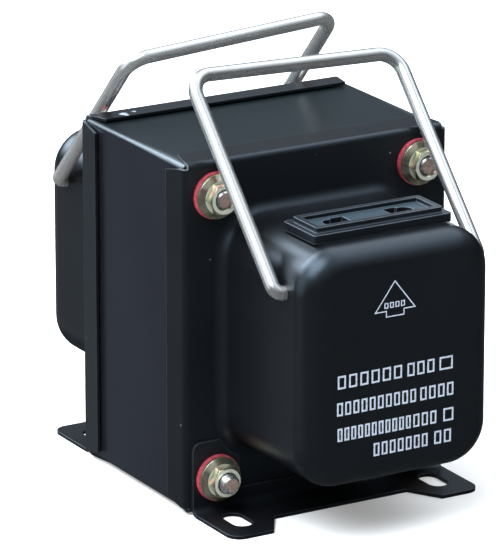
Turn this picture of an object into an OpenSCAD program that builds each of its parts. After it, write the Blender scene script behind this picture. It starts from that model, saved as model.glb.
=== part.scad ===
// Step-down voltage converter: a laminated core between two drawn end bells,
// on two sheet feet, with an outlet in the front bell and two wire handles.
// Millimetres, +Z up, -Y to the front, origin on the floor under the middle of the core.

/* [Core] */
// Width of a lamination's side leg, a sixth of the core's height
lam_leg_w = 16; // [15.5:0.5:17]
// Thickness of the lamination stack, front to rear
stack_d = 56; // [48:1:64]
// Radius of the bolt holes through the laminations
lam_hole_r = 3.3; // [3.2:0.1:3.6]

/* [Winding] */
// Wall of the moulded bobbin
bobbin_wall = 1.5; // [1:0.1:2]
// Radial build of the common winding
common_build = 5.5; // [4:0.5:6]
// Radial build of the series winding
series_build = 4.5; // [3:0.5:5]
// Build of the insulating tape over the windings
tape_t = 0.6; // [0.3:0.1:1]
// Gap between the bobbin and what surrounds it, and between the windings
coil_gap = 0.2; // [0.1:0.05:0.4]

/* [Sheet metal] */
// Sheet of the two end bells
bell_t = 0.8; // [0.6:0.1:1]
// Sheet of the wrap round the core
wrap_t = 0.6; // [0.5:0.1:0.8]
// Gap between the laminations and the wrap
wrap_gap = 0.2; // [0.2:0.05:0.4]
// Gap between the wrap and the flaps folded over it
flap_gap = 0.1; // [0.05:0.05:0.2]
// Depth of the flaps, from the flange's outer face
flap_d = 9; // [6:0.5:12]
// How much narrower each flap is at its free edge, at each end
flap_mitre = 1.6; // [0:0.2:3]
// Inside radius of the folds
fold_r = 0.8; // [0.5:0.1:0.9]
// How far the flaps have sprung open again, in degrees
flap_spring = 3; // [0:0.5:4]
// Distance by which the wrap stops short of the core's two faces
wrap_setback = 1; // [1:0.1:2]
// Inside radius of the wrap's corners
wrap_fold_r = 0.5; // [0.3:0.1:0.6]
// Width of the wrap's seam under the core
seam_w = 0.8; // [0.4:0.1:2]

/* [End bells] */
// Distance from the line of the bolts in to a bell's side
bell_side_in = 2.5; // [2:0.25:3.5]
// Distance from the line of the bolts in to a bell's top and bottom
bell_top_in = 6.5; // [6:0.25:7]
// Depth of a bell, from the flange's outer face
bell_d = 44; // [42:0.5:52]
// Radius of a bell's four corners, seen from the front
bell_corner_r = 12; // [11:0.5:13]
// Radius of the edge round a bell's front
bell_edge_r = 7; // [5:0.5:8]
// Radius where a bell meets its flange
bell_root_r = 3; // [2:0.5:3.5]

/* [Feet] */
// Sheet of the feet
foot_t = 1; // [0.8:0.1:1.5]
// Height of the flanges' lower edge over the floor
foot_drop = 0.6; // [0.6:0.1:2]
// Width of a foot
foot_w = 79; // [76:0.5:82]
// Depth of a foot between its lugs, from the flange
foot_strip_d = 13.6; // [11:0.1:15]
// Depth of a foot at its lugs
foot_lug_d = 23; // [20:0.5:26]
// Width of a lug along its front edge
lug_w = 12.6; // [12:0.1:15]
// How far a lug's inner edge slants outwards
lug_slant = 5.7; // [0:0.1:8]
// Radius of a lug's outer corner
lug_corner_r = 4; // [2:0.5:5]
// Width of the slot in a lug
slot_w = 5.9; // [4.5:0.1:6.5]
// Length of the slot, end to end
slot_l = 11; // [9:0.2:13]
// Distance from the flange to the middle of a slot
slot_out = 11; // [10.5:0.1:12.5]
// Distance from a foot's side to the middle of its slot
slot_in = 8.1; // [7:0.1:9]
// Height of the upright tabs over the floor
tab_h = 20.9; // [19:0.1:24]
// Distance from a lower bolt to the inner edge of the tab round it
tab_in = 7.2; // [7:0.1:8.5]
// Radius of a tab's outer corner
tab_corner_r = 2.5; // [1:0.5:4]
// Height of the web between the tabs
web_h = 6; // [4.5:0.5:8]
// Inside radius of a foot's fold
foot_fold_r = 2; // [0.8:0.1:2.5]
// Gap between a tab and the root of the bell beside it
tab_relief = 0.6; // [0.3:0.1:1]

/* [Fasteners] */
// Diameter of the bolts
bolt_d = 5; // [4.5:0.1:5.2]
// Gap round a bolt in its sleeve and its nut
bolt_gap = 0.1; // [0.05:0.05:0.2]
// Radius of the bolt holes in the sheet metal
sheet_hole_r = 2.8; // [2.7:0.1:3.2]
// Wall of the insulating sleeve on a bolt
sleeve_wall = 0.5; // [0.3:0.1:0.5]
// Size of nuts and bolt heads across the flats
hex_af = 8; // [7:0.5:9]
// Height of a flange nut
nut_h = 4.6; // [4.2:0.1:6]
// Diameter of a nut's flange
nut_flange_d = 12.5; // [10:0.5:13]
// Thickness of a nut's flange at its rim
nut_rim_t = 0.9; // [0.6:0.1:1.2]
// Height at which the flange's slope meets the hexagon
nut_slope_h = 1.9; // [1.5:0.1:2.5]
// Height of a bolt's head
head_h = 3.5; // [3:0.1:4]
// Chamfer on nuts, bolt heads and bolt ends
hex_chamfer = 0.5; // [0.2:0.1:0.8]
// Diameter of a fibre washer
washer_d = 13; // [11:0.1:14]
// Thickness of a fibre washer
washer_t = 1.3; // [0.6:0.1:1.5]
// Length of an upper bolt past its nut
upper_bolt_past = 0.2; // [-1:0.1:2]
// Length of a lower bolt past its nut
lower_bolt_past = 2.4; // [-1:0.1:4]

/* [Outlet] */
// Distance from the flange to the middle of the outlet
outlet_out = 26.5; // [25:0.5:28]
// Length of the outlet's base
outlet_w = 43; // [40:0.5:46]
// Width of the outlet's base
outlet_d = 16; // [15:0.5:17]
// Thickness of the base
outlet_base_h = 2.4; // [1.5:0.1:4]
// Height of the frame over the base
outlet_frame_h = 1.5; // [1:0.1:3]
// Step from the base's edge to the frame
outlet_step = 1.8; // [1:0.1:2]
// Corner radius of the base and the frame
outlet_corner_r = 0.7; // [0.3:0.1:1.5]
// Width of the frame's rim
outlet_rim = 1.6; // [1:0.1:2]
// Depth of the recess inside the frame
outlet_recess = 1.2; // [0.6:0.1:2]
// Depth of the outlet's body below the bell's top
outlet_body_h = 16; // [14:0.5:18]
// Wall of the outlet's body round its contacts
outlet_wall = 1.6; // [1.2:0.1:2]
// Distance between the round pins
pin_pitch = 22.6; // [22:0.2:23]
// Diameter of the round pin openings
pin_d = 5; // [4.6:0.1:5.2]
// Length of the flat pin openings, across the outlet
blade_l = 6.4; // [6:0.1:6.8]
// Width of the flat pin openings, along the outlet
blade_w = 4; // [3.4:0.1:4.4]
// Overlap of each flat opening with its round one
pin_merge = 1.5; // [1:0.1:2]
// Strip that the contacts are bent from
contact_t = 0.5; // [0.3:0.1:0.8]
// Width of the contacts' tails
tail_w = 2.4; // [2:0.1:3]
// Length of the tails below the outlet's cover
tail_l = 6; // [4:0.5:8]
// Gap round the outlet's fitted pieces
outlet_gap = 0.2; // [0.1:0.05:0.3]
// Reach of the snap wings that hold the outlet under the sheet
snap_out = 1.4; // [0.8:0.1:2]
// Height of the snap wings
snap_h = 5; // [3:0.5:8]

/* [Leads and inlet] */
// Diameter of the inner leads
lead_d = 2; // [1.5:0.1:2.5]
// Radius of the bends in the inner leads
lead_bend_r = 4; // [3:0.5:5]
// Drop of the outlet's leads below the contacts' tails
outlet_lead_drop = 12; // [8:1:16]
// Distance of the input leads from the middle, left and right
lead_x = 9; // [6:0.5:12]
// Height of the input leads on the coil over the middle of the core
input_lead_rise = 16; // [12:1:20]
// Drop of the input leads to their splices
input_lead_drop = 8; // [6:0.5:12]
// Distance from the rear bell's face to the splices
splice_in = 15; // [12:1:18]
// Radius of a splice cap
splice_r = 3; // [2.5:0.1:3.5]
// Length of a splice cap
splice_l = 12; // [10:0.5:14]
// Radius of the cord's hole through the grommet
cord_r = 3.6; // [3:0.1:4]
// Height of the grommet from the middle of the bell
grommet_rise = -18; // [-22:1:0]
// Width of the grommet's flanges past the hole in the bell
grommet_lip = 2; // [1:0.1:3]
// Thickness of the grommet's flanges
grommet_lip_t = 1.5; // [1:0.1:2]
// Wall of the grommet between the cord and the bell
grommet_wall = 2; // [1.5:0.1:3]

/* [Handles] */
// Diameter of the wire
rod_d = 4; // [3:0.1:4.2]
// Distance from a bell's side to the middle of a leg
handle_out = 2.5; // [2.5:0.1:4]
// Length of a leg, from the pivot to the middle of the crossbar
handle_l = 65.6; // [60:0.2:70]
// How far a leg moves outward on its way up to the crossbar
handle_flare = 1.6; // [0:0.1:3]
// Radius of the bends at the crossbar, to the middle of the wire
top_bend_r = 6; // [4:0.5:9]
// Radius of the bends at the pivots, to the middle of the wire
low_bend_r = 2.6; // [2.4:0.1:2.8]
// How much less the free leg leans than the leg that rests on a nut, in degrees
handle_skew = 4; // [0:0.5:6]
// Distance from the flange to the pivots
pivot_out = 32.2; // [31:0.1:34]
// Height of the pivots over the middle of the bell
pivot_rise = 20.9; // [18:0.1:21]
// Length of the bent-in ends inside the bell's wall
pin_in = 4; // [2:0.5:6]
// Gap round the bent-in ends in their holes
pin_gap = 0.1; // [0.05:0.01:0.1]
// Gap between a leaning leg and the nut that stops it
rest_gap = 0.3; // [0.2:0.05:0.6]

/* [Hidden] */
$fn = 64;

// Length by which a cutter passes the face that it cuts
cut = 1;
// Width of the flat band in which two runs of one sheet overlap
lap = 0.5;
// Length by which a bend of the handles' wire enters the runs that it joins
bend_in = 0.2;
// How much thinner the wire is drawn in a bend
bend_thin = 0.04;

// Core
lam_w = 5 * lam_leg_w;
lam_h = 6 * lam_leg_w;
bolt_x = 2 * lam_leg_w;
bolt_z = 2.5 * lam_leg_w;
leg_l = 3 * lam_leg_w;

// Bells: they reach as far as the bolts leave room for
bell_w = 2 * (bolt_x - bell_side_in);
bell_h = 2 * (bolt_z - bell_top_in);

// Flange and wrap
skin = wrap_gap + wrap_t + flap_gap + bell_t;
flange_w = lam_w + 2 * skin;
flange_h = lam_h + 2 * skin;
core_z = foot_drop + flange_h / 2;
face_y = stack_d / 2 + bell_t;
fold_out_r = fold_r + bell_t;
wrap_w = lam_w + 2 * (wrap_gap + wrap_t);
wrap_h = lam_h + 2 * (wrap_gap + wrap_t);
wrap_bend_r = wrap_t + wrap_fold_r;

// Winding: the coil sits on the middle leg and runs along X
coil_l = leg_l - 2 * coil_gap;
tube_in_h = 2 * lam_leg_w + 2 * coil_gap;
tube_in_d = stack_d + 2 * coil_gap;
coil_build = common_build + series_build + tape_t + 3 * coil_gap;
wound_l = coil_l - 2 * bobbin_wall - 2 * coil_gap;
coil_front = tube_in_d / 2 + bobbin_wall + coil_build;

// Feet: a tab reaches from the foot's side past the bolt
tab_w = foot_w / 2 - bolt_x + tab_in;

// Fasteners
hex_r = hex_af / 2 / cos(30);
sleeve_r = bolt_d / 2 + bolt_gap + sleeve_wall;

// Outlet, measured from the bell's top
neck_w = outlet_w - 2 * outlet_step - 2 * outlet_rim;
neck_d = outlet_d - 2 * outlet_step - outlet_rim;
frame_w = outlet_w - 2 * outlet_step;
frame_d = outlet_d - 2 * outlet_step;
outlet_top = outlet_base_h + outlet_frame_h;
cover_t = outlet_wall;
blade_x = (pin_pitch - pin_d) / 2 + pin_merge;
pocket_w = pin_d + blade_w - pin_merge + 2 * outlet_gap;
pocket_x = (pin_pitch + pin_d - pocket_w) / 2 + outlet_gap;
pocket_d = neck_d - 2 * outlet_wall;
contact_w = pocket_w - 4 * outlet_gap;
contact_d = pocket_d - 2 * outlet_gap;
tail_y = -face_y - outlet_out;
tail_z = core_z + bell_h / 2 - outlet_body_h - cover_t - tail_l;

// Leads and inlet
input_lead_z = core_z + input_lead_rise;
grommet_r = cord_r + grommet_wall;
splice_y = face_y + bell_d - splice_in;
splice_z = input_lead_z - input_lead_drop - splice_l;

// Handles: the right leg leans back until it rests on the upper nut's top edge
handle_w = bell_w + 2 * handle_out;
nut_dy = pivot_out - washer_t - nut_h;
nut_dz = bolt_z + hex_af / 2 - pivot_rise;
rest_lean = atan2(nut_dy, nut_dz) - asin((rod_d / 2 + rest_gap) / norm([nut_dy, nut_dz]));

// Puts what is drawn on a flange, with z pointing away from the core, on the front
module on_front() translate([0, -face_y, core_z]) rotate([90, 0, 0]) children();

// The same on the rear
module on_rear() mirror([0, 1, 0]) on_front() children();

// Puts what is drawn with z up on the front bell's top, over the outlet's middle
module on_outlet() translate([0, -face_y - outlet_out, core_z + bell_h / 2]) children();

module at_bolts(heights = [-1, 1])
    for (side = [-1, 1], level = heights)
        translate([side * bolt_x, level * bolt_z, 0]) children();

// Flat rectangle with round corners
module round_rect(w, h, r) {
    square([w - 2 * r, h], center = true);
    square([w, h - 2 * r], center = true);
    for (x = [-1, 1], y = [-1, 1])
        translate([x * (w / 2 - r), y * (h / 2 - r)]) circle(r);
}

// Quarter of a flat ring, in the quadrant of positive x and y
module quarter_ring(inner, outer) {
    intersection() {
        difference() {
            circle(outer);
            circle(inner);
        }
        square(outer);
    }
}

// Sweeps a section round a rounded rectangle: x is the distance out from its side, y is along z
module sweep_round_rect(w, h, r) {
    for (turn = [0 : 3]) {
        reach = (turn % 2 == 0 ? w : h) / 2;
        rise = (turn % 2 == 0 ? h : w) / 2 - r;
        rotate(turn * 90) {
            translate([reach - r, rise, 0]) rotate_extrude(angle = 90) translate([r, 0]) children();
            translate([reach - r, rise, 0]) rotate([90, 0, 0]) linear_extrude(2 * rise)
                translate([r, 0]) children();
        }
    }
}

// Stack of E laminations: yoke on the left, three legs pointing right
module core_e_stack() color("dimgray") {
    translate([0, stack_d / 2, core_z]) rotate([90, 0, 0]) linear_extrude(stack_d) difference() {
        translate([-lam_w / 2, -lam_h / 2]) square([lam_w - lam_leg_w, lam_h]);
        for (side = [-1, 1])
            translate([-leg_l / 2, side * 1.5 * lam_leg_w - lam_leg_w / 2]) square([leg_l + cut, lam_leg_w]);
        at_bolts() circle(lam_hole_r);
    }
}

// Stack of I laminations that closes the legs
module core_i_stack() color("gray") {
    translate([0, stack_d / 2, core_z]) rotate([90, 0, 0]) linear_extrude(stack_d) difference() {
        translate([lam_w / 2 - lam_leg_w, -lam_h / 2]) square([lam_leg_w, lam_h]);
        at_bolts() circle(lam_hole_r);
    }
}

// Rounded tube along X round the middle leg, for the bobbin and each layer wound on it
module coil_tube(length, inner_h, inner_d, wall, inner_r) {
    translate([-length / 2, 0, core_z]) rotate([90, 0, 90]) linear_extrude(length) difference() {
        round_rect(inner_d + 2 * wall, inner_h + 2 * wall, inner_r + wall);
        round_rect(inner_d, inner_h, inner_r);
    }
}

// Layer of the winding that starts a given build above the bobbin's tube
module wound_layer(start, build) {
    base = bobbin_wall + start;
    coil_tube(wound_l, tube_in_h + 2 * base, tube_in_d + 2 * base, build, base);
}

// Moulded bobbin: a square tube with a cheek at each end
module bobbin() color("ivory") {
    coil_tube(coil_l, tube_in_h, tube_in_d, bobbin_wall, coil_gap);
    for (side = [-1, 1])
        translate([side * (coil_l - bobbin_wall) / 2, 0, 0])
            coil_tube(bobbin_wall, tube_in_h + 2 * bobbin_wall, tube_in_d + 2 * bobbin_wall,
                coil_build, bobbin_wall);
}

module common_winding() color("peru") wound_layer(coil_gap, common_build);

module series_winding() color("sienna") wound_layer(common_build + 2 * coil_gap, series_build);

module winding_tape() color("khaki")
    wound_layer(common_build + series_build + 3 * coil_gap, tape_t);

// Painted sheet folded round the laminations, with its seam underneath
module core_wrap() color([0.1, 0.11, 0.13]) {
    length = stack_d - 2 * wrap_setback;
    translate([0, length / 2, core_z]) rotate([90, 0, 0]) linear_extrude(length) difference() {
        round_rect(wrap_w, wrap_h, wrap_bend_r);
        round_rect(wrap_w - 2 * wrap_t, wrap_h - 2 * wrap_t, wrap_bend_r - wrap_t);
        translate([-seam_w / 2, -wrap_h / 2 - cut]) square([seam_w, wrap_t + 2 * cut]);
    }
}

// Section of a bell's sheet from its flange, up its wall and over its front edge
module bell_section() {
    translate([bell_root_r, -bell_t]) square([lap, bell_t]);
    translate([bell_root_r, bell_root_r]) rotate(180) quarter_ring(bell_root_r, bell_root_r + bell_t);
    translate([-bell_t, bell_root_r]) square([bell_t, bell_d - bell_root_r - bell_edge_r]);
    translate([-bell_edge_r, bell_d - bell_edge_r]) quarter_ring(bell_edge_r - bell_t, bell_edge_r);
    translate([-bell_edge_r - lap, bell_d - bell_t]) square([lap, bell_t]);
}

// Flap folded back over the wrap from the flange's edge at a distance from the middle
module folded_flap(reach, length) {
    translate([0, reach - fold_out_r, -fold_out_r]) {
        rotate([90, 0, 90]) translate([0, 0, -length / 2]) linear_extrude(length) {
            translate([-lap, fold_r]) square([lap, bell_t]);
            intersection() {
                quarter_ring(fold_r, fold_out_r);
                rotate(flap_spring) square(2 * fold_out_r);
            }
            rotate(flap_spring) translate([fold_r, -lap]) square([bell_t, lap]);
        }
        rotate([flap_spring, 0, 0]) translate([0, fold_out_r, 0]) rotate([90, 0, 0]) linear_extrude(bell_t)
            polygon([
                [-length / 2, 0],
                [length / 2, 0],
                [length / 2, -lap],
                [length / 2 - flap_mitre, fold_out_r - flap_d],
                [flap_mitre - length / 2, fold_out_r - flap_d],
                [-length / 2, -lap]
            ]);
    }
}

// One drawn pressing: bell, flange and four folded flaps, with the handle's two holes
module bell() {
    plate_w = flange_w - 2 * fold_out_r;
    plate_h = flange_h - 2 * fold_out_r;
    front_in = bell_edge_r + lap / 2;
    root_out = bell_root_r + lap / 2;
    difference() {
        union() {
            sweep_round_rect(bell_w, bell_h, bell_corner_r) bell_section();
            translate([0, 0, bell_d - bell_t]) linear_extrude(bell_t)
                round_rect(bell_w - 2 * front_in, bell_h - 2 * front_in, bell_corner_r - front_in);
            translate([0, 0, -bell_t]) linear_extrude(bell_t) difference() {
                square([plate_w, plate_h], center = true);
                round_rect(bell_w + 2 * root_out, bell_h + 2 * root_out, bell_corner_r + root_out);
            }
        }
        translate([-bell_w / 2 - cut, pivot_rise, pivot_out]) rotate([0, 90, 0])
            cylinder(h = bell_w + 2 * cut, r = rod_d / 2 + pin_gap);
        translate([0, 0, -bell_t - cut]) at_bolts() cylinder(h = bell_t + 2 * cut, r = sheet_hole_r);
    }
    for (turn = [0, 180])
        rotate(turn) folded_flap(flange_h / 2, plate_w);
    for (turn = [90, 270])
        rotate(turn) folded_flap(flange_w / 2, plate_h);
}

module front_bell() color([0.05, 0.05, 0.06]) difference() {
    on_front() bell();
    on_outlet() translate([0, 0, -bell_t - cut]) linear_extrude(bell_t + 2 * cut)
        square([neck_w + 2 * outlet_gap, neck_d + 2 * outlet_gap], center = true);
}

module rear_bell() color([0.05, 0.05, 0.06]) difference() {
    on_rear() bell();
    on_rear() translate([0, grommet_rise, bell_d - bell_t - cut])
        cylinder(h = bell_t + 2 * cut, r = grommet_r);
}

// Outline of a foot's floor plate, with x across and y away from the flange
module foot_plan() {
    back = foot_t + foot_fold_r;
    difference() {
        union() {
            translate([-foot_w / 2, back]) square([foot_w, foot_strip_d - back]);
            for (side = [0, 1]) mirror([side, 0]) {
                polygon([
                    [foot_w / 2, back],
                    [foot_w / 2, foot_lug_d - lug_corner_r],
                    [foot_w / 2 - lug_corner_r, foot_lug_d],
                    [foot_w / 2 - lug_w, foot_lug_d],
                    [foot_w / 2 - lug_w - lug_slant, foot_strip_d],
                    [foot_w / 2 - lug_w - lug_slant, back]
                ]);
                translate([foot_w / 2 - lug_corner_r, foot_lug_d - lug_corner_r]) circle(lug_corner_r);
            }
        }
        for (side = [-1, 1])
            translate([side * (foot_w / 2 - slot_in), slot_out]) slot_outline();
    }
}

module slot_outline() {
    run = slot_l - slot_w;
    square([slot_w, run], center = true);
    for (end = [-1, 1])
        translate([0, end * run / 2]) circle(slot_w / 2);
}

// Outline of a foot's upright, with x across and y up from the floor
module foot_upright() {
    low = foot_t + foot_fold_r;
    difference() {
        union() {
            translate([-foot_w / 2, low]) square([foot_w, web_h - low]);
            for (side = [0, 1]) mirror([side, 0]) {
                translate([foot_w / 2 - tab_w, low]) square([tab_w, tab_h - low - tab_corner_r]);
                translate([foot_w / 2 - tab_w, low])
                    square([tab_w - tab_corner_r, tab_h - low]);
                translate([foot_w / 2 - tab_corner_r, tab_h - tab_corner_r]) circle(tab_corner_r);
            }
        }
        translate([0, core_z]) {
            at_bolts([-1]) circle(sheet_hole_r);
            round_rect(bell_w + 2 * (bell_root_r + tab_relief), bell_h + 2 * (bell_root_r + tab_relief),
                bell_corner_r + bell_root_r + tab_relief);
        }
    }
}

// Folded foot against a flange: floor plate, fold and upright
module foot() {
    fold = foot_t + foot_fold_r;
    translate([0, -core_z, 0]) {
        rotate([90, 0, 0]) translate([0, 0, -foot_t]) linear_extrude(foot_t) foot_plan();
        linear_extrude(foot_t) foot_upright();
        translate([-foot_w / 2, fold, fold]) rotate([180, -90, 0]) rotate(90)
            linear_extrude(foot_w) quarter_ring(foot_fold_r, fold);
    }
}

module front_foot() color([0.06, 0.06, 0.07]) on_front() foot();

module rear_foot() color([0.06, 0.06, 0.07]) on_rear() foot();

// Insulating sleeves that keep the bolts off the laminations
module bolt_sleeves() color("linen")
    translate([0, stack_d / 2, core_z]) rotate([90, 0, 0]) at_bolts() linear_extrude(stack_d) difference() {
        circle(sleeve_r);
        circle(bolt_d / 2 + bolt_gap);
    }

// Hexagon with flats up and down, its upper corners turned off
module hex_block(height) intersection() {
    cylinder(h = height, r = hex_r, $fn = 6);
    rotate_extrude() polygon([
        [0, 0],
        [hex_r, 0],
        [hex_r, height - hex_chamfer],
        [hex_af / 2, height],
        [0, height]
    ]);
}

// Two bolts at one height: hex head at the rear, shank, chamfered end at the front nuts
module bolt_pair(level, seat, past) {
    rear_seat = face_y + seat;
    shank_end = rear_seat + nut_h + past - hex_chamfer;
    translate([0, 0, core_z]) rotate([90, 0, 0]) at_bolts([level]) {
        translate([0, 0, -rear_seat - head_h / 2])
            cylinder(h = rear_seat + head_h / 2 + shank_end, d = bolt_d);
        translate([0, 0, shank_end])
            cylinder(h = hex_chamfer, r1 = bolt_d / 2, r2 = bolt_d / 2 - hex_chamfer);
        translate([0, 0, -rear_seat]) mirror([0, 0, 1]) hex_block(head_h);
    }
}

module upper_bolts() color("darkkhaki") bolt_pair(1, washer_t, upper_bolt_past);

module lower_bolts() color("darkkhaki") bolt_pair(-1, washer_t + foot_t, lower_bolt_past);

// Flange nut with a sloping flange, bored and countersunk for its bolt
module flange_nut() {
    bore_r = (bolt_d + bolt_gap) / 2;
    difference() {
        union() {
            cylinder(h = nut_rim_t, d = nut_flange_d);
            translate([0, 0, nut_rim_t])
                cylinder(h = nut_slope_h - nut_rim_t, r1 = nut_flange_d / 2, r2 = hex_r);
            hex_block(nut_h);
        }
        translate([0, 0, -cut]) cylinder(h = nut_h + 2 * cut, r = bore_r);
        translate([0, 0, nut_h - hex_chamfer])
            cylinder(h = 2 * hex_chamfer, r1 = bore_r, r2 = bore_r + 2 * hex_chamfer);
    }
}

module flange_nuts() color("goldenrod") on_front() {
    at_bolts([1]) translate([0, 0, washer_t]) flange_nut();
    at_bolts([-1]) translate([0, 0, washer_t + foot_t]) flange_nut();
}

// Four washers of a flange: the lower two lie on the foot's tabs
module washers() {
    for (level = [-1, 1])
        at_bolts([level]) translate([0, 0, level < 0 ? foot_t : 0]) linear_extrude(washer_t) difference() {
            circle(d = washer_d);
            circle(bolt_d / 2 + bolt_gap);
        }
}

module front_washers() color("firebrick") on_front() washers();

module rear_washers() color("firebrick") on_rear() washers();

// Outline of one pin opening on the right: a round pin and a flat pin side by side
module pin_opening() {
    translate([pin_pitch / 2, 0]) circle(d = pin_d);
    translate([blade_x - blade_w, -blade_l / 2]) square([blade_w, blade_l]);
}

// Repeats what is drawn on the right of the outlet on its left
module both_pins() {
    children();
    mirror([1, 0, 0]) children();
}

// Wedge on the body's end that springs out under the bell's sheet
module snap_wing() polygon([
    [0, -bell_t - outlet_gap],
    [snap_out, -bell_t - outlet_gap],
    [0, -bell_t - outlet_gap - snap_h]
]);

// Moulded outlet: base, raised frame and a body with two pockets below the bell's top
module outlet_face() color([0.08, 0.09, 0.1]) on_outlet() difference() {
    union() {
        linear_extrude(outlet_base_h) round_rect(outlet_w, outlet_d, outlet_corner_r);
        linear_extrude(outlet_top) round_rect(frame_w, frame_d, outlet_corner_r);
        translate([0, 0, -outlet_body_h]) linear_extrude(outlet_body_h + outlet_base_h)
            square([neck_w, neck_d], center = true);
        both_pins() translate([neck_w / 2, neck_d / 4, 0]) rotate([90, 0, 0]) linear_extrude(neck_d / 2)
            snap_wing();
    }
    translate([0, 0, outlet_top - outlet_recess]) linear_extrude(outlet_recess + cut)
        square([frame_w - 2 * outlet_rim, frame_d - 2 * outlet_rim], center = true);
    both_pins() {
        translate([0, 0, -cut]) linear_extrude(outlet_top + 2 * cut) pin_opening();
        translate([pocket_x, 0, -outlet_body_h - cut]) linear_extrude(outlet_body_h + cut)
            square([pocket_w, pocket_d], center = true);
    }
}

// Plate that closes the outlet's body, with a slit for each contact's tail
module outlet_cover() color("dimgray") on_outlet()
    translate([0, 0, -outlet_body_h - cover_t]) linear_extrude(cover_t) difference() {
        square([neck_w, neck_d], center = true);
        both_pins() translate([pocket_x, 0])
            square([tail_w + 2 * outlet_gap, contact_t + 2 * outlet_gap], center = true);
    }

// Brass contact bent into a U, with a tail through the cover
module outlet_contact() {
    height = outlet_body_h - outlet_gap;
    rotate([90, 0, 90]) translate([0, 0, -contact_w / 2]) linear_extrude(contact_w) difference() {
        translate([-contact_d / 2, 0]) square([contact_d, height]);
        translate([contact_t - contact_d / 2, contact_t]) square([contact_d - 2 * contact_t, height]);
    }
    translate([-tail_w / 2, -contact_t / 2, -cover_t - tail_l])
        cube([tail_w, contact_t, cover_t + tail_l + contact_t / 2]);
}

module outlet_contacts() color("gold") on_outlet()
    both_pins() translate([pocket_x, 0, -outlet_body_h]) outlet_contact();

// Lead that drops from one height to another, then turns to the coil
module lead(x, y_start, z_start, z_end, y_end) {
    way = sign(y_end - y_start);
    bend_y = y_start + way * lead_bend_r;
    bend_z = z_end + lead_bend_r;
    translate([x, y_start, bend_z]) cylinder(h = z_start - bend_z, d = lead_d);
    translate([x, bend_y, bend_z]) rotate([0, 90, 0]) rotate(way > 0 ? -90 : 0)
        rotate_extrude(angle = 90) translate([lead_bend_r, 0]) circle(d = lead_d);
    translate([x, bend_y, z_end]) rotate([-90 * way, 0, 0]) cylinder(h = abs(y_end - bend_y), d = lead_d);
}

// Leads from the contacts' tails to the coil
module outlet_leads() color("crimson")
    for (side = [-1, 1])
        lead(side * pocket_x, tail_y, tail_z, tail_z - outlet_lead_drop, -coil_front - coil_gap);

// Leads that drop from the coil into the splice caps
module input_leads() color("royalblue")
    for (side = [-1, 1])
        translate([0, 0, 2 * input_lead_z]) mirror([0, 0, 1])
            lead(side * lead_x, splice_y, 2 * input_lead_z - splice_z - splice_l / 2 - coil_gap,
                input_lead_z, coil_front + coil_gap);

// Closed caps where the cord's wires join the input leads
module splice_caps() color("lightgray")
    for (side = [-1, 1])
        translate([side * lead_x, splice_y, splice_z]) difference() {
            union() {
                translate([0, 0, splice_r]) cylinder(h = splice_l - splice_r, r = splice_r);
                translate([0, 0, splice_r]) sphere(splice_r);
            }
            translate([0, 0, splice_l / 2]) cylinder(h = splice_l, d = lead_d + 2 * coil_gap);
        }

// Rubber grommet with a groove for the bell's sheet and a hole for the cord
module cord_grommet() color([0.03, 0.03, 0.03]) on_rear()
    translate([0, grommet_rise, bell_d - bell_t / 2]) rotate_extrude() difference() {
        translate([cord_r, -bell_t / 2 - grommet_lip_t])
            square([grommet_wall + grommet_lip, bell_t + 2 * grommet_lip_t]);
        translate([grommet_r - outlet_gap, -bell_t / 2 - outlet_gap / 2])
            square([grommet_lip + cut, bell_t + outlet_gap]);
    }

function unit(v) = v / norm(v);

// Length that the bend at a point takes from each of the two runs that meet there
function bend_trim(points, radii, i) = i == 0 || i == len(points) - 1 ? 0
    : radii[i] * tan(acos(unit(points[i] - points[i - 1]) * unit(points[i + 1] - points[i])) / 2);

// Wire through points: straight runs, and between them bends drawn a hair thinner that enter the runs
module bent_wire(points, radii, d) {
    last = len(points) - 1;
    for (i = [0 : last - 1]) {
        way = unit(points[i + 1] - points[i]);
        start = points[i] + bend_trim(points, radii, i) * way;
        length = norm(points[i + 1] - start) - bend_trim(points, radii, i + 1);
        translate(start) rotate([0, acos(way[2]), atan2(way[1], way[0])]) cylinder(h = length, d = d);
    }
    for (i = [1 : last - 1]) {
        into = unit(points[i] - points[i - 1]);
        out = unit(points[i + 1] - points[i]);
        turn = acos(into * out);
        over = bend_in / radii[i] * 180 / PI;
        middle = points[i] + radii[i] / cos(turn / 2) * unit(out - into);
        ex = unit(points[i] - bend_trim(points, radii, i) * into - middle);
        ez = cross(ex, into);
        multmatrix([
            [ex[0], into[0], ez[0], middle[0]],
            [ex[1], into[1], ez[1], middle[1]],
            [ex[2], into[2], ez[2], middle[2]],
            [0, 0, 0, 1]
        ])
            rotate(-over) rotate_extrude(angle = turn + 2 * over) translate([radii[i], 0])
                circle(d = d - bend_thin);
    }
}

// Bent wire handle, a little out of true: crossbar, a leg that rests, a free leg and two ends bent in
module handle() {
    right = [handle_w / 2, 0, 0];
    pin_end = [bell_w / 2 - bell_t - pin_in, 0, 0];
    free_lean = rest_lean - handle_skew;
    flare = [handle_flare, 0, 0];
    rest_top = right + flare + handle_l * [0, cos(rest_lean), -sin(rest_lean)];
    free_top = -right - flare + handle_l * [0, cos(free_lean), -sin(free_lean)];
    translate([0, pivot_rise, pivot_out]) bent_wire(
        [pin_end, right, rest_top, free_top, -right, -pin_end],
        [0, low_bend_r, top_bend_r, top_bend_r, low_bend_r, 0],
        rod_d
    );
}

module front_handle() color("silver") on_front() handle();

module rear_handle() color("silver") rotate(180) on_front() handle();

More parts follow.
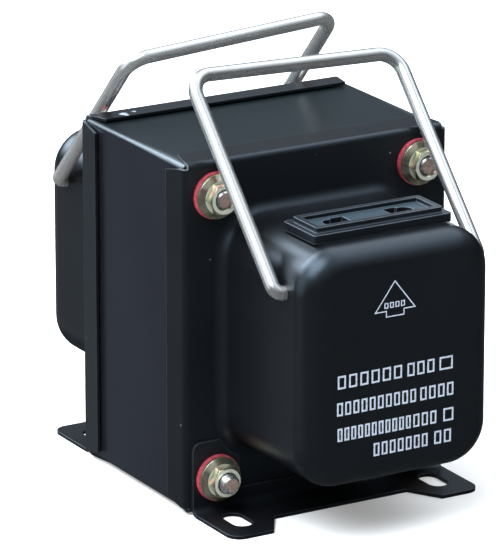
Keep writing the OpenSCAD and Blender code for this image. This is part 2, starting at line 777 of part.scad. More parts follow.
core_e_stack();
core_i_stack();
bobbin();
common_winding();
series_winding();
winding_tape();
core_wrap();
front_bell();
rear_bell();
front_foot();
rear_foot();
bolt_sleeves();
upper_bolts();
lower_bolts();
flange_nuts();
front_washers();
rear_washers();
outlet_face();
outlet_cover();
outlet_contacts();
outlet_leads();
input_leads();
splice_caps();
cord_grommet();
front_handle();
rear_handle();
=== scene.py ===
# %% [markdown]
# A bare step-down converter: a laminated core in a painted wrap, squeezed between two drawn
# end bells by four long bolts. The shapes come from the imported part. This lesson sets the
# camera, the light and the finishes, and adds the small things that sit on the surfaces:
# the ink on the front bell and the threads on the bolt ends.

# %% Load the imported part
import math

import bmesh
import bpy
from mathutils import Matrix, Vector


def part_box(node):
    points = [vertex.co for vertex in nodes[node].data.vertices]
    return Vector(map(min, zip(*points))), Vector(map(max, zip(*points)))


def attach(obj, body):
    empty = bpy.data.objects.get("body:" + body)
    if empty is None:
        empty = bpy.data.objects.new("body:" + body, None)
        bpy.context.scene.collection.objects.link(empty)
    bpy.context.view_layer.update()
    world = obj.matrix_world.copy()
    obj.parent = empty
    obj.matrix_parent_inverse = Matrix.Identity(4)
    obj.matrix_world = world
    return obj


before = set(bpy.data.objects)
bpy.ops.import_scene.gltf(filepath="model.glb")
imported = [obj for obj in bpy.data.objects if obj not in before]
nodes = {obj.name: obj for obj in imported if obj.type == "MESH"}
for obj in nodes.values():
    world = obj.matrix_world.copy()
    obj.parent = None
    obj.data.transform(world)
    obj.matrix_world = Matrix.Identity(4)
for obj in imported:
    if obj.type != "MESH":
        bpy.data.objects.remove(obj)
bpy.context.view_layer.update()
MM = 0.001

# %% [markdown]
# A portrait of a product is usually taken from far away with a long lens, so that upright
# edges stay nearly parallel. Here the camera stands to the front left and looks a little down,
# from as far away as the object's vanishing lines ask for. A shifted lens could frame it too, but
# the shift would stay in every other view, so the camera aims a little beside the core's middle.

# %% Camera
AZIMUTH = math.radians(-30.41)
ELEVATION = math.radians(17.79)
DISTANCE = 1391 * MM
TARGET = Vector((0, 0, 50 * MM))
AIM_RIGHT = -3.65 * MM
AIM_UP = 5.07 * MM
LENS = 360
SENSOR = 36
NEAREST = 10 * MM

away = Vector((
    math.sin(AZIMUTH) * math.cos(ELEVATION),
    -math.cos(AZIMUTH) * math.cos(ELEVATION),
    math.sin(ELEVATION),
))
right = Vector((math.cos(AZIMUTH), math.sin(AZIMUTH), 0))
up = away.cross(right)
camera = bpy.data.objects.new("camera", bpy.data.cameras.new("camera"))
bpy.context.scene.collection.objects.link(camera)
camera.data.lens = LENS
camera.data.sensor_fit = "HORIZONTAL"
camera.data.sensor_width = SENSOR
camera.data.clip_start = NEAREST
camera.location = TARGET + DISTANCE * away
aim = TARGET + AIM_RIGHT * right + AIM_UP * up
camera.rotation_euler = (camera.location - aim).to_track_quat("Z", "Y").to_euler()
bpy.context.scene.camera = camera
print("camera at", [round(value, 3) for value in camera.location], "m")

# %% [markdown]
# Shader networks could be wired up box by box, but they are easier to read as sums. This class
# wraps one output socket: plus, minus, times and divide add Math nodes, and one method adds any
# other node. Colours and vectors go through Mix and Vector Math nodes, because a Math node would
# turn them grey.


# %% Wires
class Wire:
    """One output socket of a material, usable in sums."""

    def __init__(self, socket):
        self.socket = socket

    def node(self, kind, settings=None, inputs=None, output=0):
        """Adds a node of a kind, with its settings and its sockets' values or wires."""
        made = self.socket.id_data.nodes.new(kind)
        for name, value in (settings or {}).items():
            setattr(made, name, value)
        for key, value in (inputs or {}).items():
            plug(made.inputs[key], value)
        return Wire(made.outputs[output])

    def math(self, operation, first, second):
        """Adds a Math node on two values or wires."""
        return self.node("ShaderNodeMath", {"operation": operation}, {0: first, 1: second})

    def __add__(self, other):
        return self.math("ADD", self, other)

    def __sub__(self, other):
        return self.math("SUBTRACT", self, other)

    def __rsub__(self, other):
        return self.math("SUBTRACT", other, self)

    def __mul__(self, other):
        return self.math("MULTIPLY", self, other)

    def __truediv__(self, other):
        return self.math("DIVIDE", self, other)

    __radd__ = __add__
    __rmul__ = __mul__


def plug(socket, value):
    """Links a wire to a socket, or sets the socket's own value."""
    if isinstance(value, Wire):
        socket.id_data.links.new(value.socket, socket)
    else:
        socket.default_value = value


# %% Starting a finish
def new_finish(name):
    """A material, its shader, and a wire with each point's place on the piece in metres."""
    material = bpy.data.materials.new(name)
    material.use_nodes = True
    tree = material.node_tree
    place = tree.nodes.new("ShaderNodeTexCoord")
    return material, tree.nodes["Principled BSDF"], Wire(place.outputs["Object"])


def coat(shader, **sockets):
    """Sets the shader's sockets, named with underscores for spaces."""
    for name, value in sockets.items():
        plug(shader.inputs[name.replace("_", " ")], value)


# %% [markdown]
# Colours are picked on screen, where the numbers are bent to suit the eye. A shader works in
# plain amounts of light, so each colour is straightened first, and the view bends it back. No
# surface is quite even, and a cloudy noise that mixes two near colours is the plainest way to
# say so: unlike a picture it has no seams, and its size is in metres.

# %% Colours and noises
bpy.context.scene.view_settings.view_transform = "Standard"
# Under this share of full light the screen's curve is a straight line
SRGB_TOE = 0.04045


def srgb(*channels):
    """A colour picked on screen, 0 to 255, as the linear light a shader works in."""
    shares = [value / 255 for value in channels]
    linear = [((s + 0.055) / 1.055) ** 2.4 if s > SRGB_TOE else s / 12.92 for s in shares]
    return (*linear, 1)


def noise(place, size, detail=2.0):
    """Cloudy values from 0 to 1, with blotches of a size in metres."""
    inputs = {"Vector": place, "Scale": 1 / size, "Detail": detail}
    return place.node("ShaderNodeTexNoise", None, inputs)


def mix(mask, first, second):
    """A colour that goes from first to second as the mask goes from 0 to 1."""
    # The node's colours are its inputs 6 and 7 and its output 2
    return mask.node("ShaderNodeMix", {"data_type": "RGBA"}, {0: mask, 6: first, 7: second}, 2)


print("middle grey, 128 on screen, is", round(srgb(128, 128, 128)[0], 3), "in linear light")

# %% [markdown]
# The converter stands on white paper on a lit table. A white room alone could stand in for it,
# but then nothing would take a shadow or throw light up under the bells. So the floor is a sheet
# that takes light and gives it back, and glows a little, as a lit table does. It is kept out of
# mirror reflections, as a sheet of paper smaller than the room would be.

# %% Floor
FLOOR_REACH = 4.0
FLOOR_CELLS = 8
FLOOR_LIGHT = srgb(255, 253, 250)
FLOOR_GLOW = 0.22
PAPER = srgb(252, 244, 236)
PAPER_PALE = srgb(255, 248, 240)
PAPER_GRAIN = 3 * MM
PAPER_ROUGH = 0.9


def make_floor():
    mesh = bmesh.new()
    bmesh.ops.create_grid(mesh, x_segments=FLOOR_CELLS, y_segments=FLOOR_CELLS, size=FLOOR_REACH)
    data = bpy.data.meshes.new("floor")
    mesh.to_mesh(data)
    mesh.free()
    floor = bpy.data.objects.new("floor", data)
    bpy.context.scene.collection.objects.link(floor)
    material, shader, place = new_finish("floor_paper")
    paper = mix(noise(place, PAPER_GRAIN), PAPER, PAPER_PALE)
    coat(shader, Base_Color=paper, Roughness=PAPER_ROUGH, Specular_IOR_Level=0.0)
    coat(shader, Emission_Color=FLOOR_LIGHT, Emission_Strength=FLOOR_GLOW)
    data.materials.append(material)
    floor.visible_glossy = False


make_floor()
print("floor of", 2 * FLOOR_REACH, "m")

# %% [markdown]
# Black paint has almost no colour of its own: what is seen on it is the room. Area lamps could
# light it, but their hard edges would show in the gloss, so the room itself is painted with soft
# lights: a dim lower half, a dark band at the horizon, a dome that brightens with height, windows
# high on the left with a pale wall under them, softboxes overhead, and screens at the back, which
# draw the bright lines on the folds.


# %% Steps and directions
def step(value, low, high):
    """0 under low, 1 over high, and smooth between."""
    inputs = {"Value": value, "From Min": low, "From Max": high}
    return value.node("ShaderNodeMapRange", {"interpolation_type": "SMOOTHSTEP"}, inputs)


def axis(place, name):
    """One coordinate of a place or a direction."""
    return place.node("ShaderNodeSeparateXYZ", None, {0: place}, name)


def dot(first, second):
    """How far two directions agree: 1 for the same, 0 for square to each other."""
    settings = {"operation": "DOT_PRODUCT"}
    return first.node("ShaderNodeVectorMath", settings, {0: first, 1: second}, "Value")


# %% Lights in the room
# Each light: its direction, its outer and inner angles in degrees, and its strength
GLOWS = {
    "window": ((-0.50, -0.14, 0.86), 31, 14, 8.5),
    "upper window": ((-0.38, 0.62, 0.68), 27, 10, 9.5),
    "rear screen": ((-0.29, 0.81, 0.50), 22, 6, 5.0),
    "left wall": ((-0.93, 0.24, 0.20), 30, 12, 1.6),
    "softbox": ((0.48, 0.15, 0.86), 34, 12, 1.9),
    "front softbox": ((0.48, -0.45, 0.75), 22, 8, 0.7),
    "backdrop": ((0.48, 0.88, -0.01), 10, 4, 0.8),
    "low screen": ((-0.27, 0.91, -0.31), 18, 3, 0.27),
}


def glow(way, centre, outer, inner, strength):
    """A round light seen in one direction: full inside the inner angle, none past the outer."""
    toward = dot(way, Vector(centre).normalized())
    return step(toward, math.cos(math.radians(outer)), math.cos(math.radians(inner))) * strength


print(len(GLOWS), "lights:", ", ".join(GLOWS))

# %% Paint the room
# Heights go from -1, straight down, to 1, straight up, and sides from -1, left, to 1, right
LOW_LIGHT = 0.08
LOW_FADE = (-0.14, 0.10)
DOME_MIDDLE = 0.35
MIDDLE_RISE = (0.20, 0.34)
DOME_TOP = 0.85
TOP_RISE = (0.48, 0.85)
RIGHT_SHADE = 0.6
SHADE_RISE = (0.55, 0.85)
SKY = srgb(228, 241, 255)

world = bpy.data.worlds.new("studio")
bpy.context.scene.world = world
world.use_nodes = True
sky = world.node_tree.nodes["Background"]
way = Wire(world.node_tree.nodes.new("ShaderNodeTexCoord").outputs["Generated"])
height = axis(way, "Z")
dome = step(height, *MIDDLE_RISE) * DOME_MIDDLE + step(height, *TOP_RISE) * DOME_TOP
shaded = 1 - step(axis(way, "X"), *SHADE_RISE) * RIGHT_SHADE
room = (1 - step(height, *LOW_FADE)) * LOW_LIGHT + dome * shaded
for settings in GLOWS.values():
    room = room + glow(way, *settings)
plug(sky.inputs["Color"], SKY)
plug(sky.inputs["Strength"], room)
print("dome up to", DOME_MIDDLE + DOME_TOP, "and", LOW_LIGHT, "from below")

# %% [markdown]
# Paint and wear both follow edges. Bevels could be cut into the mesh, but its sizes are the
# part's own. The Bevel node gives the direction that a rounded edge would have instead, and where
# it differs from the face's own direction, an edge is near. Peel and grain are only thousandths
# of a millimetre high, so they too are a tilt of the surface, which is what the Bump node makes.

# %% Edges and relief
BEVEL_SAMPLES = 6


def facing(place):
    """The direction of the face itself, with no rounding."""
    return place.node("ShaderNodeNewGeometry", None, None, "True Normal")


def soft_edge(place, radius):
    """The surface's direction with its edges rounded, as paint and tumbling leave them."""
    return place.node("ShaderNodeBevel", {"samples": BEVEL_SAMPLES}, {"Radius": radius})


def sharp_edges(place, reach, low=0.02, high=0.12):
    """1 within a reach of an edge that turns by more than high, 0 where it turns under low."""
    return step(1 - dot(facing(place), soft_edge(place, reach)), low, high)


def relief(height, under=None):
    """A direction tilted as a height in metres would tilt the surface."""
    inputs = {"Height": height, "Distance": 1.0}
    if under:
        inputs["Normal"] = under
    return height.node("ShaderNodeBump", None, inputs)


# %% [markdown]
# The bells and feet are dipped in black enamel. It pools into a fine orange peel, rounds every
# sheared edge, and is duller near the flanges, where the sheet was drawn hardest. A painted
# picture could show this, but noises need no unwrapping and stay sharp from close by: one noise
# and the distance from the core set the roughness, and a finer one the peel. Its sharp edges are
# painted paler, a painted highlight. A few chips on the rear flap show bare sheet, and bare sheet
# is painted on the sharp edges of the flaps' upper corners, partly as wear and partly as a
# painted highlight.

# %% Wear and dust
CORNER_IN = 1.2 * MM
CORNER_REACH = 0.8 * MM
WEAR_GRAIN = 1.2 * MM
DUST_PITCH = 8 * MM
bell_low, bell_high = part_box("front_bell")


def absolute(value):
    """A value without its sign."""
    return value.math("ABSOLUTE", value, 0)


def corner_wear_and_highlight(place):
    """1 on the sharp edges near the upper corners where the flaps meet, 0 elsewhere: wear and painted
    highlight.
    """
    side, top = bell_high[0] - CORNER_IN, bell_high[2] - CORNER_IN
    across = step(absolute(axis(place, "X")), side - CORNER_IN, side)
    upward = step(axis(place, "Z"), top - CORNER_IN, top)
    ragged = step(noise(place, WEAR_GRAIN), 0.30, 0.46)
    return sharp_edges(place, CORNER_REACH, 0.01, 0.06) * across * upward * ragged


def dust(place):
    """A few specks, one to some cells of a random pattern."""
    inputs = {"Vector": place, "Scale": 1 / DUST_PITCH}
    from_middle = place.node("ShaderNodeTexVoronoi", None, inputs)
    draw = axis(place.node("ShaderNodeTexVoronoi", None, inputs, "Color"), "X")
    return (1 - step(from_middle, 0.018, 0.034)) * step(draw, 0.78, 0.80)


print("corners at", round(bell_high[0] / MM, 1), "and", round(bell_high[2] / MM, 1), "mm are rubbed")

# %% The skin of the paint
PEEL_SIZE = 1.5 * MM
PEEL_DEPTH = 0.004 * MM
SWAY_SIZE = 40 * MM
SWAY_DEPTH = 0.12 * MM
EDGE_ROUND = 0.25 * MM
FLANGE_OUT = 1.7 * MM
DRAWN_REACH = 10 * MM
wrap_low, wrap_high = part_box("core_wrap")


def paint_surface(place):
    """The height of wet paint that has dried: a fine peel on a slow sway."""
    return noise(place, PEEL_SIZE) * PEEL_DEPTH + noise(place, SWAY_SIZE, 1) * SWAY_DEPTH


def drawn_hard(place):
    """1 on a bell's root, fading to 0 along its walls, and 0 on the flaps."""
    out = absolute(axis(place, "Y")) - wrap_high[1]
    return step(out, FLANGE_OUT - EDGE_ROUND, FLANGE_OUT) * (1 - step(out, FLANGE_OUT, DRAWN_REACH))


print("peel in waves of", PEEL_SIZE / MM, "mm, dull to", DRAWN_REACH / MM, "mm out from the wrap")

# %% Black enamel
ENAMEL = srgb(11, 11, 12)
ENAMEL_DULL = srgb(17, 17, 19)
ENAMEL_EDGE_HIGHLIGHT = srgb(84, 90, 97)
BARE_SHEET = srgb(206, 211, 215)
DUST = srgb(150, 154, 158)
BLUE_SHEEN = srgb(220, 240, 255)
ENAMEL_CLOUD = 24 * MM
ENAMEL_ROUGH = 0.25
CLOUD_DULL = 0.12
DRAWN_DULL = 0.2
WORN_DULL = 0.2
EDGE_HIGHLIGHT_REACH = 0.35 * MM
CHIP_GRAIN = 0.9 * MM
CHIP_CORE = 0.6
# Each chip: its place and its radius in millimetres
CHIPS = [((-31.5, 22.6, 100.2), 1.5), ((-31.4, 20.9, 100.3), 0.9), ((-27.8, 23.4, 100.2), 0.8)]


def near(place, spot, radius):
    """1 in the core of a spot, falling to 0 a radius away from its middle."""
    settings = {"operation": "DISTANCE"}
    away_from = place.node("ShaderNodeVectorMath", settings, {0: place, 1: spot}, "Value")
    return 1 - step(away_from, CHIP_CORE * radius, radius)


def black_enamel(name, chips=()):
    """Enamel, with bare spots of given places and radii in millimetres."""
    material, shader, place = new_finish(name)
    cloud = noise(place, ENAMEL_CLOUD, 3)
    # Bare sheet on the upper corner edges: partly wear, partly a painted highlight.
    worn_and_highlit = corner_wear_and_highlight(place)
    for (x, y, z), radius in chips:
        spot = near(place, (x * MM, y * MM, z * MM), radius * MM)
        worn_and_highlit = worn_and_highlit + spot * step(noise(place, CHIP_GRAIN, 3), 0.38, 0.46)
    # The sharp edges are painted paler: a painted highlight.
    thin_and_edge_highlight = sharp_edges(place, EDGE_HIGHLIGHT_REACH) * (0.1 + cloud * 0.5)
    paint = mix(thin_and_edge_highlight, mix(cloud, ENAMEL, ENAMEL_DULL), ENAMEL_EDGE_HIGHLIGHT)
    colour = mix(worn_and_highlit, mix(dust(place), paint, DUST), BARE_SHEET)
    rough = ENAMEL_ROUGH + cloud * CLOUD_DULL + drawn_hard(place) * DRAWN_DULL + worn_and_highlit * WORN_DULL
    coat(shader, Base_Color=colour, Roughness=rough, Specular_Tint=BLUE_SHEEN)
    coat(shader, Normal=relief(paint_surface(place), soft_edge(place, EDGE_ROUND)))
    return material


def dress(material, *names):
    """Gives CAD pieces a finish."""
    for name in names:
        nodes[name].data.materials.clear()
        nodes[name].data.materials.append(material)
    print(material.name, "on", ", ".join(names))


dress(black_enamel("black_enamel"), "front_bell", "front_foot", "rear_foot")
dress(black_enamel("black_enamel_chipped", CHIPS), "rear_bell")

# %% [markdown]
# The wrap is a separate, thinner sheet, sprayed with the same black but thinner. Its top faces
# are painted greener and its sides bluer, a painted tint of the reflections that each shows. It is
# not quite flat: each side bulges a little between the flaps, and towards the front the top rolls
# over softly into its bends, where the brake pressed less. The mesh could be bent to match, but
# tenths of a millimetre show only in reflections, so they are heights for the Bump node. The two
# upper bends are painted pale, a painted highlight that is brightest and widest in front.

# %% Wrap paint
TEAL_SHEEN = srgb(230, 248, 255)
WRAP_SIDE = srgb(13, 12, 17)
WRAP_SIDE_PALE = srgb(22, 21, 28)
WRAP_TOP = srgb(12, 18, 19)
WRAP_TOP_PALE = srgb(19, 26, 27)
WRAP_CLOUD = 30 * MM
WRAP_ROUGH = 0.24
WRAP_ROUND = 1.2 * MM
BULGE = 0.9
ROLL_REACH = 5 * MM
ROLL_SLOPE = 0.36
FOLD_HIGHLIGHT = srgb(96, 102, 104)
FOLD_REACH = 1.0 * MM
FOLD_FAN = 2.4 * MM
FOLD_SIDE = 2.5


def wrap_paint():
    material, shader, place = new_finish("wrap_paint")
    cloud = noise(place, WRAP_CLOUD, 3)
    across, depth = axis(place, "X"), axis(place, "Y")
    # Top faces painted greener and sides bluer: a painted tint of their reflections.
    top = step(axis(facing(place), "Z"), 0.4, 0.8)
    side_paint = mix(cloud, WRAP_SIDE, WRAP_SIDE_PALE)
    paint = mix(top, side_paint, mix(cloud, WRAP_TOP, WRAP_TOP_PALE))
    front = 1 - step(depth, wrap_low[1], wrap_high[1])
    inward = wrap_high[0] - absolute(across)
    from_fold = inward + (wrap_high[2] - axis(place, "Z")) * FOLD_SIDE
    # Painted highlight along the two upper bends, brighter and wider towards the front.
    highlit = 1 - step(from_fold / (FOLD_REACH + front * FOLD_FAN), 0.1, 1)
    colour = mix(highlit * (0.25 + front * 0.6), paint, FOLD_HIGHLIGHT)
    rough = WRAP_ROUGH + cloud * CLOUD_DULL
    coat(shader, Base_Color=colour, Roughness=rough, Specular_Tint=TEAL_SHEEN)
    edge = 1 - inward / ROLL_REACH
    roll = edge.math("MAXIMUM", edge, 0)
    roll = roll * roll * top * front * (ROLL_REACH * ROLL_SLOPE / 2)
    bulge = depth * depth * (-BULGE / 2)
    surface = paint_surface(place) + bulge - roll
    coat(shader, Normal=relief(surface, soft_edge(place, WRAP_ROUND)))
    return material


dress(wrap_paint(), "core_wrap")

# %% [markdown]
# The nuts are yellow-passivated zinc: a thin film whose colour drifts from gold to olive and
# pink over a few millimetres. Their front faces are painted paler, a painted highlight.
# Thin-film optics could be worked out, but two noises that pick between three tints give the same
# drift. The crystals under the film scatter light, so the shader is only part metal.

# %% Yellow zinc
GOLD = srgb(224, 215, 186)
OLIVE = srgb(168, 169, 138)
ROSE = srgb(214, 178, 160)
FRONT_FACE_HIGHLIGHT = srgb(228, 230, 208)
SATIN = 0.93
CUT_SATIN = 0.4
FILM_DRIFT = 3.5 * MM
FILM_TINT = 2.6 * MM
FILM_PULL = 1.7
NUT_ROUND = 0.15 * MM


def stretch(place, x, y, z):
    """The place with each axis multiplied, for a pattern that runs along one direction."""
    settings = {"operation": "MULTIPLY"}
    return place.node("ShaderNodeVectorMath", settings, {0: place, 1: (x, y, z)})


def faces_front(place):
    """1 on flat faces that look to the front, 0 on the others."""
    return step(0 - axis(facing(place), "Y"), 0.90, 0.97)


def yellow_zinc():
    material, shader, place = new_finish("yellow_zinc")
    # Front faces painted paler: a painted highlight.
    front_highlight = faces_front(place)
    drift = step(noise(place, FILM_DRIFT, 1), 0.35, 0.65)
    tint = step(noise(stretch(place, 1, 1, FILM_PULL), FILM_TINT, 1), 0.50, 0.66)
    film = mix(tint, mix(drift, GOLD, OLIVE), ROSE)
    coat(shader, Base_Color=mix(front_highlight, film, FRONT_FACE_HIGHLIGHT), Metallic=SATIN - front_highlight * CUT_SATIN)
    coat(shader, Roughness=0.16 + drift * 0.1, Normal=soft_edge(place, NUT_ROUND))
    return material


dress(yellow_zinc(), "flange_nuts")

# %% [markdown]
# The bolts are plain bright zinc. Their front ends were sawn after plating, so bare, faintly
# rusted steel shows there. The ends could be pieces of their own, but a mask by direction finds
# them on every bolt, however long it is.

# %% Bright zinc
ZINC = srgb(226, 224, 218)
ZINC_DULL = srgb(188, 184, 180)
SAWN = srgb(196, 152, 140)
SAWN_DULL = srgb(140, 140, 124)
ZINC_CLOUD = 1.5 * MM
BOLT_ROUND = 0.3 * MM


def bright_zinc(name, rounded):
    """Plain zinc on bolts whose edges are rounded by a radius, with sawn, bare front ends."""
    material, shader, place = new_finish(name)
    cloud = noise(place, ZINC_CLOUD, 2)
    sawn = faces_front(place)
    colour = mix(sawn, mix(cloud, ZINC_DULL, ZINC), mix(cloud, SAWN_DULL, SAWN))
    coat(shader, Base_Color=colour, Metallic=SATIN - sawn * CUT_SATIN)
    coat(shader, Roughness=0.2 + cloud * 0.14, Normal=soft_edge(place, rounded))
    return material


dress(bright_zinc("bright_zinc", BOLT_ROUND), "upper_bolts", "lower_bolts")

# %% [markdown]
# The washers are vulcanised fibre: paper dyed red and pressed hard, whose short, matted grain
# shows. Hairs could be modelled one by one, but they are finer than a pixel, so one stretched
# noise sets the colour, the gloss and the relief together.

# %% Red fibre
FIBRE = srgb(146, 32, 46)
FIBRE_PALE = srgb(190, 80, 92)
FIBRE_GRAIN = 0.9 * MM
FIBRE_PULL = 3
FIBRE_DEPTH = 0.03 * MM
FIBRE_ROUND = 0.2 * MM


def red_fibre():
    material, shader, place = new_finish("red_fibre")
    mat = noise(stretch(place, 1, 1, FIBRE_PULL), FIBRE_GRAIN, 5)
    coat(shader, Base_Color=mix(step(mat, 0.35, 0.75), FIBRE, FIBRE_PALE))
    coat(shader, Roughness=0.48 + mat * 0.2)
    coat(shader, Normal=relief(mat * FIBRE_DEPTH, soft_edge(place, FIBRE_ROUND)))
    return material


dress(red_fibre(), "front_washers", "rear_washers")

# %% [markdown]
# The handles are drawn steel wire with a bright, slightly milky plating. The milkiness picks
# up the white table, so the rods keep a pale underside, the rear one most. Brushed streaks could
# follow the rod, but it runs in three directions, so the grain is kept fine and faint instead of
# aligned.

# %% Polished wire
STEEL = srgb(198, 195, 190)
STEEL_DULL = srgb(174, 171, 166)
MILKY = 0.86
MILKIER = 0.74
WIRE_CLOUD = 9 * MM
SCUFF_SIZE = 0.9 * MM
SCUFF_DEPTH = 0.0002 * MM


def polished_wire(name, metal):
    """Plated wire; the less metal in its shade, the milkier the plating."""
    material, shader, place = new_finish(name)
    cloud = noise(place, WIRE_CLOUD, 4)
    scuff = noise(place, SCUFF_SIZE, 1)
    coat(shader, Base_Color=mix(cloud, STEEL, STEEL_DULL), Metallic=metal)
    coat(shader, Roughness=0.18 + cloud * 0.08 + scuff * 0.06)
    coat(shader, Normal=relief(scuff * SCUFF_DEPTH))
    return material


dress(polished_wire("polished_wire", MILKY), "front_handle")
dress(polished_wire("milky_wire", MILKIER), "rear_handle")

# %% [markdown]
# The outlet is a thermoset moulding, black and slightly matt, with a grain left by the mould.
# Its edges are painted paler, a painted highlight, and the floor of its recess is painted a
# lighter teal grey, a painted reflection. Each could be a material of its own, but a mask by
# depth and one by sharpness keep the moulding in one piece, as it was made.

# %% Outlet moulding
OUTLET_BLACK = srgb(13, 14, 16)
OUTLET_GREY = srgb(22, 24, 28)
OUTLET_EDGE_HIGHLIGHT = srgb(140, 145, 152)
OUTLET_RECESS_REFLECTION = srgb(46, 57, 63)
OUTLET_GRAIN = 0.5 * MM
OUTLET_CLOUD = 8 * MM
OUTLET_RELIEF = 0.01 * MM
OUTLET_ROUND = 0.25 * MM
OUTLET_HIGHLIGHT_REACH = 0.4 * MM
RECESS = 1.2 * MM
outlet_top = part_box("outlet_face")[1][2]


def outlet_moulding():
    material, shader, place = new_finish("outlet_moulding")
    grain = noise(place, OUTLET_GRAIN, 3)
    cloud = noise(place, OUTLET_CLOUD, 2)
    depth = (outlet_top - axis(place, "Z")) / RECESS
    # The recess floor is painted a lighter teal grey: a painted reflection.
    recess_reflection = step(depth, 0.85, 0.95) * (1 - step(depth, 1.05, 1.15))
    colour = mix(recess_reflection, mix(cloud, OUTLET_BLACK, OUTLET_GREY), OUTLET_RECESS_REFLECTION)
    # The sharp edges are painted paler: a painted highlight.
    colour = mix(sharp_edges(place, OUTLET_HIGHLIGHT_REACH) * (0.3 + grain * 0.6), colour, OUTLET_EDGE_HIGHLIGHT)
    coat(shader, Base_Color=colour, Roughness=0.34 + grain * 0.16, Specular_Tint=BLUE_SHEEN)
    coat(shader, Normal=relief(grain * OUTLET_RELIEF, soft_edge(place, OUTLET_ROUND)))
    return material


dress(outlet_moulding(), "outlet_face", "outlet_cover")

# %% [markdown]
# The marking on the front bell is screen-printed: ink pushed through a mesh, a few hundredths
# of a millimetre thick. It is rows of plain outlined boxes under the outline of an arrow that
# points up at the outlet. It could be a mask in the enamel, but ink with a thickness of its own
# stays crisp from close by and comes out with the meshes, so each outline is a thin ring that
# sinks a little into the paint.

# %% Where the ink goes
INK_LINE = 0.3
INK_BOLD = 0.5
INK_HIGH = 3.7
INK_SMALL = 1.6
INK_FILL = 0.72
# The arrow's corners, x and height in millimetres, from its tip round to the right
ARROW = [
    (-2.27, 73.68), (4.38, 65.2), (0.77, 65.2), (0.77, 63.6),
    (-5.02, 63.6), (-5.02, 65.2), (-8.62, 65.2),
]
# Each row: height of its middle, first and last x in millimetres, boxes in it, their height
ROWS = [
    (66.9, -5.5, 0.9, 4, INK_SMALL),
    (47.8, -19.8, 0.2, 6, INK_HIGH), (47.8, 1.9, 10.4, 3, INK_HIGH), (47.8, 12.0, 16.2, 1, INK_HIGH),
    (40.3, -20.0, 4.7, 10, INK_HIGH), (40.3, 6.0, 16.5, 4, INK_HIGH),
    (33.1, -19.8, 3.1, 11, INK_HIGH), (33.1, 3.9, 11.2, 3, INK_HIGH), (33.1, 13.4, 16.6, 1, INK_HIGH),
    (27.1, -8.5, 8.5, 7, INK_HIGH), (27.1, 10.6, 15.9, 2, INK_HIGH),
]
box_count = sum(row[3] for row in ROWS)
print(box_count, "boxes in", len(ROWS), "rows, and an arrow with", len(ARROW), "corners")

# %% Rings of ink
INK_SUNK = 0.01 * MM
INK_PROUD = 0.02 * MM


def on_bell(mesh, points, proud):
    """Vertices on the front bell's face for points in millimetres, standing proud of the paint."""
    return [mesh.verts.new((x * MM, bell_low[1] - proud, z * MM)) for x, z in points]


def moved_in(points, gap):
    """An outline with each side moved inward by a gap, for lines of one width."""
    made = []
    for i, here in enumerate(map(Vector, points)):
        into = (here - Vector(points[i - 1])).normalized()
        out = (Vector(points[(i + 1) % len(points)]) - here).normalized()
        side = Vector((into.y, -into.x)) + Vector((out.y, -out.x))
        made.append(here + side * (gap / (1 + into.dot(out))))
    return made


def ring(mesh, outside, width):
    """A narrow closed ring of ink: a line of one width along the inside of an outline."""
    lines = (outside, moved_in(outside, width))
    loops = [on_bell(mesh, line, proud) for proud in (INK_PROUD, -INK_SUNK) for line in lines]
    for i in range(len(outside)):
        for a, b in ((0, 1), (1, 3), (3, 2), (2, 0)):
            mesh.faces.new((loops[a][i - 1], loops[b][i - 1], loops[b][i], loops[a][i]))


# %% Print the front bell
INK = srgb(160, 167, 179)
INK_THIN = srgb(112, 118, 130)
INK_GRAIN = 0.6 * MM


def white_ink():
    material, shader, place = new_finish("white_ink")
    thin_and_edge_highlight = noise(place, INK_GRAIN, 3)
    coat(shader, Base_Color=mix(step(thin_and_edge_highlight, 0.5, 0.8), INK, INK_THIN), Roughness=0.5 + thin_and_edge_highlight * 0.2)
    return material


def add_piece(name, mesh, material):
    """Turns a mesh under construction into a piece that rides on the transformer."""
    bmesh.ops.recalc_face_normals(mesh, faces=mesh.faces)
    data = bpy.data.meshes.new(name)
    mesh.to_mesh(data)
    mesh.free()
    data.materials.append(material)
    piece = bpy.data.objects.new(name, data)
    bpy.context.scene.collection.objects.link(piece)
    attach(piece, "transformer")
    print(name, "with", len(data.polygons), "faces")


def print_ink():
    mesh = bmesh.new()
    ring(mesh, ARROW, INK_LINE)
    for middle, first, last, boxes, tall in ROWS:
        pitch = (last - first) / (boxes - 1 + INK_FILL)
        low, top = middle - tall / 2, middle + tall / 2
        for box in range(boxes):
            x = first + box * pitch
            far = x + pitch * INK_FILL
            outline = [(x, low), (x, top), (far, top), (far, low)]
            ring(mesh, outline, INK_BOLD if tall == INK_HIGH else INK_LINE)
    add_piece("front_ink", mesh, white_ink())


print_ink()

# %% [markdown]
# A rolled thread is a ridge wound round the bolt. On the two lower bolts a few turns stand out
# past the nuts. A bump could hint at them, but their outline shows against the nut, so the ridge
# is swept as a three-sided section along a helix, and fades in and out over a quarter turn, as a
# thread that runs out does.

# %% Threads
NUT_RADIUS = 6.25 * MM
PITCH = 0.8 * MM
FLANK = 0.42 * PITCH
ROOT = 2.42 * MM
CREST = 2.75 * MM
TURN_STEPS = 40
RUN_OUT = 10
END_GAP = 0.55 * MM
THREAD_ROUND = 0.06 * MM
nut_low, nut_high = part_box("flange_nuts")
bolt_x = nut_high[0] - NUT_RADIUS
bolt_z = nut_low[2] + NUT_RADIUS
thread_from = nut_low[1]
thread_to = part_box("lower_bolts")[0][1] + END_GAP


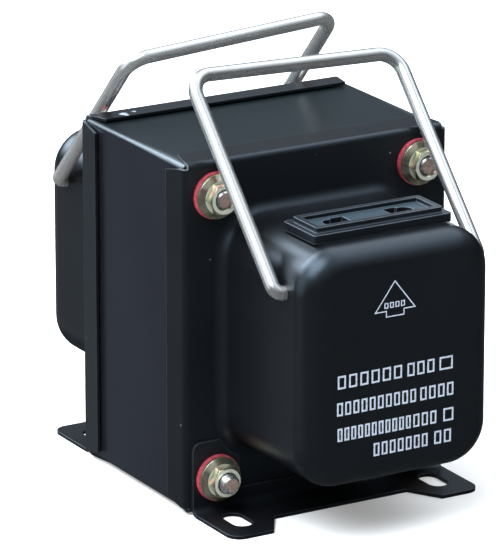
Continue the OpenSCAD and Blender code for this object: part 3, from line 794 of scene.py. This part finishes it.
def wind(mesh, x, z):
    """One closed helical ridge round a bolt that points to the front."""
    steps = int((thread_from - thread_to) / PITCH * TURN_STEPS)
    rings = []
    for i in range(steps + 1):
        angle = math.tau * i / TURN_STEPS
        cosine, sine = math.cos(angle), math.sin(angle)
        y = thread_from - PITCH * i / TURN_STEPS
        rise = (CREST - ROOT) * min(1, i / RUN_OUT, (steps - i) / RUN_OUT)
        section = ((ROOT, FLANK), (ROOT + rise, 0), (ROOT, -FLANK))
        points = [(x + r * cosine, y + shift, z + r * sine) for r, shift in section]
        rings.append([mesh.verts.new(point) for point in points])
    for before, after in zip(rings, rings[1:]):
        for k in range(3):
            mesh.faces.new((before[k - 1], before[k], after[k], after[k - 1]))
    mesh.faces.new(rings[0])
    mesh.faces.new(rings[-1][::-1])


def cut_threads():
    mesh = bmesh.new()
    for x in (-bolt_x, bolt_x):
        wind(mesh, x, bolt_z)
    add_piece("bolt_threads", mesh, bright_zinc("thread_zinc", THREAD_ROUND))


cut_threads()

# %% [markdown]
# Inside the wrap and the bells nothing shows while the converter is whole, but a part in a
# library gets opened and cut. The core is a stack of thin iron sheets, and each coil is hundreds
# of turns of enamelled wire. Every sheet and turn could be a piece of its own, but that would be
# heavy to carry about, so stripes across one axis show them in the colour and the relief.

# %% Laminations and windings
LAMINATION_PITCH = 0.5 * MM
TURN_PITCH = 1.2 * MM
IRON = srgb(120, 124, 130)
IRON_DARK = srgb(40, 42, 46)
COPPER = srgb(196, 104, 52)
COPPER_DARK = srgb(96, 38, 16)
STAIN_SIZE = 6 * MM


def striped(name, direction, pitch, dark, light, metal, rough):
    """A finish with stripes across one axis, such as sheets in a stack or turns in a coil."""
    material, shader, place = new_finish(name)
    along = axis(place, direction) / pitch
    wave = along.math("PINGPONG", along, 0.5) * 2
    stain = noise(place, STAIN_SIZE, 3)
    coat(shader, Base_Color=mix(step(wave, 0.1, 0.5) * (0.7 + stain * 0.3), dark, light))
    coat(shader, Metallic=metal, Roughness=rough + stain * 0.15)
    coat(shader, Normal=relief(wave * (pitch / 4)))
    return material


iron = striped("lamination_iron", "Y", LAMINATION_PITCH, IRON_DARK, IRON, 0.8, 0.4)
copper = striped("enamelled_copper", "X", TURN_PITCH, COPPER_DARK, COPPER, 0.9, 0.25)
dress(iron, "core_e_stack", "core_i_stack")
dress(copper, "common_winding", "series_winding")

# %% [markdown]
# The rest of the inside is moulded nylon, varnished tape, stamped brass, sleeved leads and a
# rubber grommet. Each could have a recipe of its own, but at their size they differ only in
# colour, gloss and grain, so one function makes them all from a noise.

# %% Insulation, leads and rubber
MOTTLE_ROUND = 0.15 * MM


def mottled(name, dark, light, size, rough, depth, metal=0.0):
    """A finish with one noise for colour and bump, for plastic, tape, rubber or brass."""
    material, shader, place = new_finish(name)
    grain = noise(place, size, 4)
    coat(shader, Base_Color=mix(grain, dark, light), Metallic=metal, Roughness=rough + grain * 0.15)
    coat(shader, Normal=relief(grain * depth, soft_edge(place, MOTTLE_ROUND)))
    return material


nylon = mottled("bobbin_nylon", srgb(206, 198, 176), srgb(232, 226, 208), 4 * MM, 0.4, 0.01 * MM)
tape = mottled("insulating_tape", srgb(176, 138, 44), srgb(214, 178, 78), 6 * MM, 0.3, 0.02 * MM)
brass = mottled("contact_brass", srgb(166, 130, 58), srgb(210, 176, 98), 2 * MM, 0.22, 0.004 * MM, 1.0)
sleeve = mottled("lead_sleeve", srgb(120, 24, 22), srgb(152, 38, 32), 3 * MM, 0.4, 0.01 * MM)
rubber = mottled("grommet_rubber", srgb(17, 17, 18), srgb(34, 34, 36), 1.2 * MM, 0.62, 0.03 * MM)
dress(nylon, "bobbin", "splice_caps")
dress(tape, "winding_tape", "bolt_sleeves")
dress(brass, "outlet_contacts")
dress(sleeve, "outlet_leads", "input_leads")
dress(rubber, "cord_grommet")
